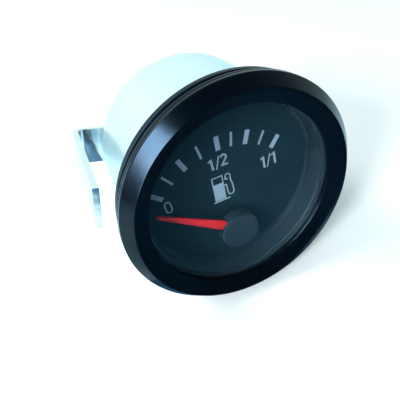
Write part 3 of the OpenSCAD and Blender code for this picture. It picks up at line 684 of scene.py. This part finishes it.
def pump_point(across, up):
    """Point of the dial from one of the pump sign."""
    return (PUMP_LEFT + across, PUMP_LOW + up)


window = [pump_point(FRAME_W, WINDOW_LOW), pump_point(PUMP_W - FRAME_W, WINDOW_LOW),
          pump_point(PUMP_W - FRAME_W, PUMP_H - FRAME_W), pump_point(FRAME_W, PUMP_H - FRAME_W)]
shell = [pump_point(0, WINDOW_LOW), pump_point(PUMP_W, WINDOW_LOW),
         pump_point(PUMP_W, PUMP_H), pump_point(0, PUMP_H)]
cabinet = [pump_point(0, 0), pump_point(PUMP_W, 0), shell[1], window[1], window[0], shell[0]]
surround = [[shell[1], shell[2], window[2], window[1]], [shell[2], shell[3], window[3], window[2]],
            [shell[3], shell[0], window[0], window[3]]]
plinth = bar_cell(pump_point(-0.45, -0.35), pump_point(PUMP_W + 1.1, -0.35), 0.42)
hose_path = [(0, 4.0), (0.62, 3.9), (0.75, 1.9)]
hose_path += arc_points((1.62, 1.35), 0.82, 190, 350, 10)
hose_path += [(2.35, 3.4), (2.0, 4.7), (1.98, 5.7)]
hose_path += arc_points((1.3, 6.2), 0.72, 0, 150, 9)
hose = [pump_point(PUMP_W + across, up) for across, up in hose_path]
spout = [pump_point(PUMP_W + across, up) for across, up in ((0.72, 6.5), (0.6, 5.6), (1.25, 5.35))]
pump = [cabinet, plinth] + surround + ribbon(hose, HOSE_W) + ribbon(spout, SPOUT_W)
pump_sign = printed("pump_sign", pump)
fit(pump_sign, "gauge", "scale_marks")

# Pointer and hub cap
needle = softened("needle", "pointer", 0.06, limit=20)
fit(needle, "pointer", "pointer")
cap = softened("cap", "hub_cap", 0.12, segments=3)
fit(cap, "pointer", "hub_cap")

# Terminals and their block
block = softened("block", "terminal_block", 0.25)
fit(block, "gauge", "terminal_block")
for terminal in ("ignition", "sender", "earth"):
    blade = softened("blade_" + terminal, "terminal_" + terminal, 0.1)
    fit(blade, "gauge", "terminal_" + terminal)

# Lamp holder with its grip ribs, contacts and bulb
GRIP_LEN = 6.0 * MM
GRIP_HALF = 4.2 * MM
RIB_LEN = 4.6 * MM
holder_body = softened("holder_body", "lamp_holder", 0.18)
grip_y = lamp_high.y - GRIP_LEN / 2
ribs = Pattern("grip_ribs", {
    "Count": 11, "Rib width": 0.42 * MM, "Pitch": 0.84 * MM, "Rib height": 0.22 * MM, "Length": RIB_LEN})
size = ribs.sizes
middle_rib = ribs.math("DIVIDE", ribs.math("SUBTRACT", size["Count"], 1), 2)
rib_x = ribs.math("MULTIPLY", size["Pitch"], ribs.math("SUBTRACT", ribs.index(), middle_rib))
rib_rows = [size["Body"]]
for side in (-1, 1):
    rib_rows.append(ribs.copies(
        ribs.row(size["Count"]),
        ribs.box(size["Rib width"], size["Length"], size["Rib height"]),
        ribs.point(ribs.math("ADD", rib_x, lamp_place.x), grip_y, lamp_place.z + side * GRIP_HALF),
        (0.0, 0.0, 0.0)))
holder = ribs.made("holder", rib_rows, finishes["black_plastic"], holder_body)
fit(holder, "lamp", "lamp_holder")
contacts = softened("contacts", "lamp_contacts", 0.08)
fit(contacts, "lamp", "lamp_contacts")
bulb = softened("bulb", "bulb_glass", 0.03)
fit(bulb, "lamp", "bulb_glass")

# Bracket, washers, studs and nuts
bracket = softened("bracket", "clamp_bracket", 0.2, segments=3)
fit(bracket, "clamp", "clamp_bracket")
washers = softened("washers", "lock_washers", 0.1)
fit(washers, "clamp", "lock_washers")


def stud_place(side):
    """Place of the left (-1) or right (1) stud's axis."""
    return Vector((side * stud_reach * cos(clamp_turn), 0, -side * stud_reach * sin(clamp_turn)))


# Studs with their heads, collars and threads, in millimetres
THREAD_PITCH = 0.7
THREAD_DEPTH = 0.36
THREAD_START = 0.7
THREAD_END = 0.5
THREAD_ROOT_SHARE = 0.46
THREAD_CREST_SHARE = 0.07
THREAD_SUNK_SHARE = -0.2
HEAD_OUT = 1.5
CASE_T = 0.7
COLLAR_OUT = 1.0
COLLAR_T = 0.5
stud_size = stud_r / MM
stud_start = stud_low.y / MM
stud_end = stud_high.y / MM
case_back = case_high.y / MM
thread_start = case_back + THREAD_START
thread_end = stud_end - THREAD_END
root_r = stud_size - THREAD_DEPTH
stud_body = turned("stud_body", rounded([
    (0, stud_start),
    (stud_size + HEAD_OUT, stud_start, 0.1),
    (stud_size + HEAD_OUT, case_back - CASE_T, 0.1),
    (stud_size, case_back - CASE_T),
    (stud_size, case_back),
    (stud_size + COLLAR_OUT, case_back, 0.08),
    (stud_size + COLLAR_OUT, case_back + COLLAR_T, 0.08),
    (root_r, case_back + COLLAR_T),
    (root_r, stud_end, 0.3),
    (0, stud_end),
]), steps=48)
thread = Pattern("stud_thread", {
    "Turns": (thread_end - thread_start) / THREAD_PITCH, "Radius": root_r * MM,
    "Length": (thread_end - thread_start) * MM, "Pitch": THREAD_PITCH * MM, "Depth": THREAD_DEPTH * MM,
    "Steps a turn": 28})
size = thread.sizes
helix = thread.wiring.node("GeometryNodeCurveSpiral", {
    "Resolution": size["Steps a turn"], "Rotations": size["Turns"], "Start Radius": size["Radius"],
    "End Radius": size["Radius"], "Height": size["Length"]})
upright = thread.wiring.node("GeometryNodeSetCurveNormal", {"Curve": helix}, mode="Z_UP")
ridge = thread.wiring.node("GeometryNodeCurvePrimitiveQuadrilateral", mode="POINTS")
root_half = thread.math("MULTIPLY", size["Pitch"], THREAD_ROOT_SHARE)
top_half = thread.math("MULTIPLY", size["Pitch"], THREAD_CREST_SHARE)
sunk = thread.math("MULTIPLY", size["Depth"], THREAD_SUNK_SHARE)
ridge_corners = [(sunk, root_half), (size["Depth"], top_half),
                 (size["Depth"], thread.math("MULTIPLY", top_half, -1)),
                 (sunk, thread.math("MULTIPLY", root_half, -1))]
for number, (across, up) in enumerate(ridge_corners, 1):
    thread.wiring.feed(ridge.inputs[f"Point {number}"], thread.point(across, up, 0.0))
wound = thread.wiring.node("GeometryNodeCurveToMesh", {
    "Curve": upright, "Profile Curve": ridge, "Fill Caps": True})
laid = thread.moved(wound.outputs[0], thread.point(0.0, thread_start * MM, 0.0), (-pi / 2, 0, 0))
one_stud = thread.wiring.node("GeometryNodeJoinGeometry")
thread.tree.links.new(size["Body"], one_stud.inputs[0])
thread.tree.links.new(laid, one_stud.inputs[0])
both = [thread.moved(one_stud.outputs[0], stud_place(side)) for side in (-1, 1)]
studs = thread.made("studs", both, finishes["zinc_plated_steel"], stud_body)
fit(studs, "gauge", "clamp_studs")

# Knurled nuts, in millimetres
KNURLS = 44
KNURL_H = 4.0
KNURL_IN = 0.34
KNURL_TOOTH = 0.4
KNURL_EDGE = 0.35
RIM_IN = 0.3
HUB_OUT = 1.4
BORE_FIT = 0.05
BORE_CHAMFER = 0.3
knurl_r = (nut_high.x - nut_low.x) / 2 / MM
rim_r = knurl_r - RIM_IN
nut_y = nut_low.y / MM
nut_end = nut_high.y / MM
hub_r = stud_size + HUB_OUT
bore_r = stud_size + BORE_FIT
for side, label in ((-1, "left"), (1, "right")):
    place = stud_place(side)
    nut_body = turned("nut_body_" + label, rounded([
        (bore_r + BORE_CHAMFER, nut_y),
        (rim_r, nut_y, 0.3),
        (rim_r, nut_y + KNURL_H, 0.3),
        (hub_r, nut_y + KNURL_H, 0.15),
        (hub_r, nut_end, 0.3),
        (bore_r + BORE_CHAMFER, nut_end),
        (bore_r, nut_end - BORE_CHAMFER),
        (bore_r, nut_y + BORE_CHAMFER),
    ]), centre=(place.x, place.z), steps=96)
    knurl = Pattern("knurl_" + label, {
        "Count": KNURLS, "Radius": (knurl_r - KNURL_IN) * MM, "Height": (KNURL_H - 2 * KNURL_EDGE) * MM,
        "Tooth": KNURL_TOOTH * MM})
    size = knurl.sizes
    turn = knurl.math("MULTIPLY", knurl.index(), knurl.math("DIVIDE", 2 * pi, size["Count"]))
    tooth_x = knurl.math("MULTIPLY", size["Radius"], knurl.math("COSINE", turn))
    tooth_z = knurl.math("MULTIPLY", size["Radius"], knurl.math("SINE", turn))
    tooth = knurl.moved(knurl.box(size["Tooth"], size["Height"], size["Tooth"]), (0, 0, 0), (0, pi / 4, 0))
    teeth = knurl.copies(
        knurl.row(size["Count"]),
        tooth,
        knurl.point(knurl.math("ADD", tooth_x, place.x), (nut_y + KNURL_H / 2) * MM,
                    knurl.math("ADD", tooth_z, place.z)),
        knurl.point(0.0, knurl.math("MULTIPLY", turn, -1), 0.0))
    nut = knurl.made("nut_" + label, [size["Body"], teeth], finishes["nut_brass"], nut_body)
    fit(nut, "nut_" + label, "clamp_nut_" + label)

# Filament wound between its two wires
COIL_LIFT = 0.3 * MM
SUPPORT_APART = 0.53
coil = Pattern("filament", {
    "Turns": 14.0, "Coil radius": 0.28 * MM, "Length": 3.4 * MM, "Wire": 0.05 * MM, "Support": 0.2 * MM,
    "Support length": wire_high.y - wire_low.y})
size = coil.sizes
winding = coil.wiring.node("GeometryNodeCurveSpiral", {
    "Resolution": 12, "Rotations": size["Turns"], "Start Radius": size["Coil radius"],
    "End Radius": size["Coil radius"], "Height": size["Length"]})
thin = coil.wiring.node("GeometryNodeCurvePrimitiveCircle", {"Resolution": 6, "Radius": size["Wire"]})
wire = coil.wiring.node("GeometryNodeCurveToMesh", {"Curve": winding, "Profile Curve": thin})
wire_start = coil.math("MULTIPLY", size["Length"], -0.5)
supports = [coil.moved(
    wire.outputs[0], coil.point(wire_start, wire_low.y + COIL_LIFT, lamp_place.z), (0, pi / 2, 0))]
for side in (-1, 1):
    support = coil.wiring.node("GeometryNodeMeshCylinder", {
        "Vertices": 16, "Radius": size["Support"], "Depth": size["Support length"]})
    support_x = coil.math("MULTIPLY", size["Length"], SUPPORT_APART * side)
    supports.append(coil.moved(
        support.outputs["Mesh"], coil.point(support_x, (wire_low.y + wire_high.y) / 2, lamp_place.z),
        (pi / 2, 0, 0)))
filament = coil.made("filament", supports, finishes["filament_grey"])
fit(filament, "lamp", "bulb_filament")


# Floor under the gauge, which rests on its bezel and its can, so the floor rises towards the back
FLOOR_SLOPE = 0.0921
FLOOR_HALF = 3.0
floor_work = bmesh.new()
for x, y in ((-1, -1), (1, -1), (1, 1), (-1, 1)):
    rise = bezel_low.z + FLOOR_SLOPE * (y * FLOOR_HALF - shoulder_y * MM)
    floor_work.verts.new((x * FLOOR_HALF, y * FLOOR_HALF, rise))
floor_work.faces.new(floor_work.verts)
floor = finished(floor_work, "floor")

# What gloss sees in place of the floor is painted reflection: dark blue in front of the gauge in place of
# shade, with an edge that falls back to both sides and a bare patch at its left where it stays pale, and
# elsewhere a floor painted slightly blue
DARK_REFLECTION_COLOUR = (0.02, 0.11, 0.2, 1)
GLOSS_COLOUR = (0.68, 0.93, 1.0, 1)
DARK_REFLECTION_SLANT = (0.5, 0.8)
DARK_REFLECTION_EDGE = (0.022, 0.047)
BARE_SIDE = (-0.0335, -0.0365)
BARE_NEAR = (-0.02, -0.05)
BARE_NEAR_LEAST = 0.4
BARE_FAR = (-0.09, -0.06)
floor_paint = bpy.data.materials.new("floor_paint")
floor_paint.use_nodes = True
paper = Wiring(floor_paint.node_tree)
paper_place = paper.node("ShaderNodeTexCoord").outputs["Object"]
paper_cloud = paper.noise(paper_place, 60, detail=2)
paper_colour = paper.mix(paper_cloud.outputs[0], (0.95, 0.965, 0.97, 1), (0.98, 0.985, 0.985, 1))
paper_ray = paper.node("ShaderNodeLightPath")
paper_axes = paper.node("ShaderNodeSeparateXYZ", {0: paper_place})
paper_x = paper_axes.outputs["X"]
paper_y = paper_axes.outputs["Y"]
dark_aside = paper.math("MULTIPLY", paper.math("ABSOLUTE", paper_x), DARK_REFLECTION_SLANT[0])
dark_reach = paper.math("MULTIPLY_ADD", paper_y, DARK_REFLECTION_SLANT[1], dark_aside)
# Mask of the painted dark reflection: 1 in front of the gauge, easing to 0 past its edge
dark_reflection = paper.ramp(dark_reach, DARK_REFLECTION_EDGE, 1.0, 0.0)
bare_near = paper.ramp(paper_y, BARE_NEAR, BARE_NEAR_LEAST)
bare_depth = paper.math("MULTIPLY", bare_near, paper.ramp(paper_y, BARE_FAR))
bare = paper.math("MULTIPLY", paper.ramp(paper_x, BARE_SIDE), bare_depth)
dark_reflection_share = paper.math("MULTIPLY", dark_reflection, paper.math("SUBTRACT", 1, bare))
# Painted reflection: dark blue where the mask is, pale blue floor elsewhere; only glossy rays see it, the
# camera sees the white floor
painted_reflection = paper.mix(dark_reflection_share, GLOSS_COLOUR, DARK_REFLECTION_COLOUR)
paper_colour = paper.mix(paper_ray.outputs["Is Glossy Ray"], paper_colour, painted_reflection)
paper_shader = paper.node("ShaderNodeBsdfPrincipled", {
    "Base Color": paper_colour, "Roughness": 0.9, "Specular IOR Level": 0.1})
paper.node("ShaderNodeOutputMaterial", {"Surface": paper_shader})
floor.data.materials.append(floor_paint)

# Lamps
CENTRE = Vector((0, 7.9, 0)) * MM
WINDOW_WAY = (-0.745, -0.498, 0.444)


def soft_lamp(name, toward, distance, width, power, colour):
    """Square area lamp in a direction from the gauge, turned to it."""
    light = bpy.data.lights.new(name, "AREA")
    light.size = width
    light.energy = power
    light.color = colour
    lamp = bpy.data.objects.new(name, light)
    direction = Vector(toward).normalized()
    lamp.location = CENTRE + direction * distance
    lamp.rotation_euler = direction.to_track_quat("Z", "Y").to_euler()
    bpy.context.scene.collection.objects.link(lamp)
    return lamp


soft_lamp("key", (-0.5, 0.4, 0.75), 1.1, 0.51, 5.2, (1.0, 0.99, 0.97))
soft_lamp("window", WINDOW_WAY, 0.5, 0.12, 2.4, (0.93, 0.97, 1.0))
gleam = soft_lamp("gleam", WINDOW_WAY, 0.5, 0.2, 13, (0.62, 0.8, 1.0))
gleam.data.shape = "RECTANGLE"
gleam.data.size_y = 0.45
gleam.visible_diffuse = False

# World: white where the camera sees it, even where it lights the gauge, and for gloss and glass a room that
# is dark in front of the gauge
AMBIENT = 0.7
DARK_ROOM = 0.04
ROOM_TURN = (-0.35, 0.35)
AMBIENT_COLOUR = (0.8, 0.97, 1.0, 1)
MIRROR_COLOUR = (0.76, 0.98, 1.0, 1)
world = bpy.data.worlds.new("studio")
world.use_nodes = True
bpy.context.scene.world = world
studio = Wiring(world.node_tree)
ray = studio.node("ShaderNodeLightPath")
is_camera = ray.outputs["Is Camera Ray"]
toward = studio.node("ShaderNodeSeparateXYZ", {0: studio.node("ShaderNodeTexCoord").outputs["Generated"]})
room = studio.ramp(toward.outputs["Y"], ROOM_TURN, DARK_ROOM)
seen = studio.math("ADD", ray.outputs["Is Glossy Ray"], ray.outputs["Is Transmission Ray"])
mirrored = studio.math("MINIMUM", seen, 1)
level = studio.share(is_camera, studio.share(mirrored, AMBIENT, room), 1.0)
tone = studio.mix(is_camera, studio.mix(mirrored, AMBIENT_COLOUR, MIRROR_COLOUR), (1, 1, 1, 1))
backdrop = studio.node("ShaderNodeBackground", {"Color": tone, "Strength": level})
studio.node("ShaderNodeOutputWorld", {"Surface": backdrop})

# Camera
CAMERA_PLACE = Vector((-27.06, -67.78, 53.87)) * MM
CAMERA_LOOK = Vector((0.2069, 0.7693, -0.6045))
CAMERA_ROLL = radians(-13.97)
CAMERA_LENS = 32.91
CAMERA_SENSOR = 36
CAMERA_NEAR = 0.002
CAMERA_FAR = 20
camera = bpy.data.objects.new("camera", bpy.data.cameras.new("camera"))
camera.data.sensor_width = CAMERA_SENSOR
camera.data.lens = CAMERA_LENS
camera.data.clip_start = CAMERA_NEAR
camera.data.clip_end = CAMERA_FAR
facing = CAMERA_LOOK.to_track_quat("-Z", "Y").to_matrix() @ Matrix.Rotation(CAMERA_ROLL, 3, "Z")
camera.matrix_world = Matrix.Translation(CAMERA_PLACE) @ facing.to_4x4()
bpy.context.scene.collection.objects.link(camera)
bpy.context.scene.camera = camera
bpy.context.scene.view_settings.view_transform = "Standard"
